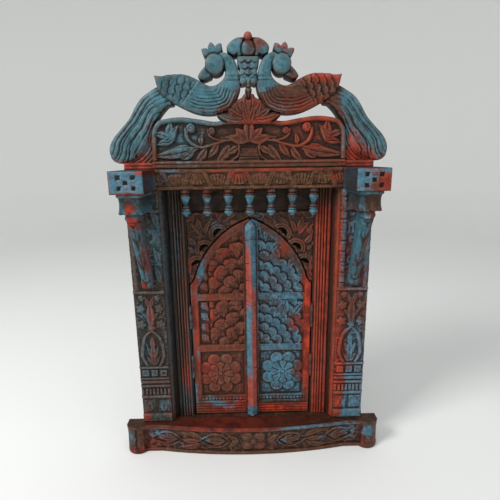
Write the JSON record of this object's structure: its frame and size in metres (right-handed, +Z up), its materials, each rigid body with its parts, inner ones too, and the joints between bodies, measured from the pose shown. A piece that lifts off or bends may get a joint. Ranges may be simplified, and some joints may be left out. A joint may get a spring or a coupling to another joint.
{
  "type": "jharokha window",
  "caption": "Carved and painted timber window with hinged leaves in a pointed arch, between strutted pilasters on a bowed sill, under a pierced crest of peacocks.",
  "frame": {"origin": "middle of the bounding box at floor level, under the sill", "axes": "+Z up, -Y out of the face towards the viewer, +X to the viewer's right"},
  "size_m": [0.586, 0.144, 0.893],
  "materials": {
    "blue_timber": "worn matt blue paint on carved hardwood",
    "brown_timber": "dark carved hardwood with worn paint",
    "red_timber": "worn matt red paint on carved hardwood",
    "iron": "dark, lightly rusted"
  },
  "bodies": {
    "frame": {"sill": "red_timber", "left_column": "brown_timber", "right_column": "blue_timber", "lintel": "brown_timber", "left_corbel_block": "blue_timber", "right_corbel_block": "blue_timber", "left_capital": "blue_timber", "right_capital": "blue_timber", "left_strut": "blue_timber", "right_strut": "blue_timber", "left_jamb": "brown_timber", "right_jamb": "red_timber", "header_board": "brown_timber", "arch_panel": "brown_timber", "pendants": "blue_timber", "left_hinge_frame_flaps": "iron", "right_hinge_frame_flaps": "iron", "left_hinge_pins": "iron", "right_hinge_pins": "iron", "crest_upper_board": "blue_timber", "crest_lower_board": "blue_timber"},
    "left_leaf": {"left_leaf": "brown_timber", "cover_strip": "blue_timber", "left_hinge_leaf_flaps": "iron"},
    "right_leaf": {"right_leaf": "blue_timber", "right_hinge_leaf_flaps": "iron"}
  },
  "joints": [
    {"name": "left_leaf_hinge", "type": "hinge", "parent": "frame", "child": "left_leaf", "pos_m": [-0.1352, 0.0465, 0.26], "axis": [0, 0, -1], "range_deg": [0, 110]},
    {"name": "right_leaf_hinge", "type": "hinge", "parent": "frame", "child": "right_leaf", "pos_m": [0.1352, 0.0465, 0.26], "axis": [0, 0, 1], "range_deg": [0, 110]}
  ],
  "couplings": [
    {"joint": "right_leaf_hinge", "follows": "left_leaf_hinge", "ratio": 1}
  ]
}
